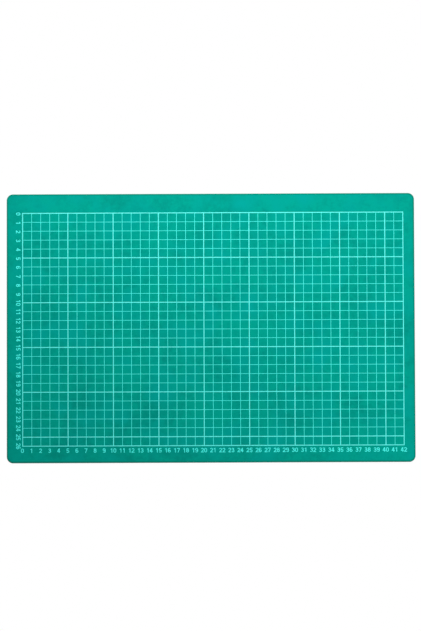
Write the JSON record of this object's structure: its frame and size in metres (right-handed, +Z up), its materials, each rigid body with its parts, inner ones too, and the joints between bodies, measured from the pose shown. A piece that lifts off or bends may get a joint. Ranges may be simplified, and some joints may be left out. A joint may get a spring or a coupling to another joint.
{
  "type": "cutting mat",
  "caption": "Flat laminated cutting mat with rounded corners, a soft cutting face over a stiffer core, and a printed centimetre grid.",
  "frame": {"origin": "middle of the underside, on the table", "axes": "+X along the long side, towards the high numbers of the front scale; +Y towards the back edge; +Z up, out of the printed face"},
  "size_m": [0.45, 0.3, 0.003],
  "materials": {
    "face_pvc": "matte",
    "core_pvc": "matte",
    "grid_ink": "satin"
  },
  "bodies": {
    "root": {"top_cutting_layer": "face_pvc", "core_layer": "core_pvc", "bottom_layer": "face_pvc", "border_line": "grid_ink", "heavy_lines_down": "grid_ink", "heavy_lines_across": "grid_ink", "fine_lines_down": "grid_ink", "fine_lines_across": "grid_ink"}
  },
  "joints": []
}
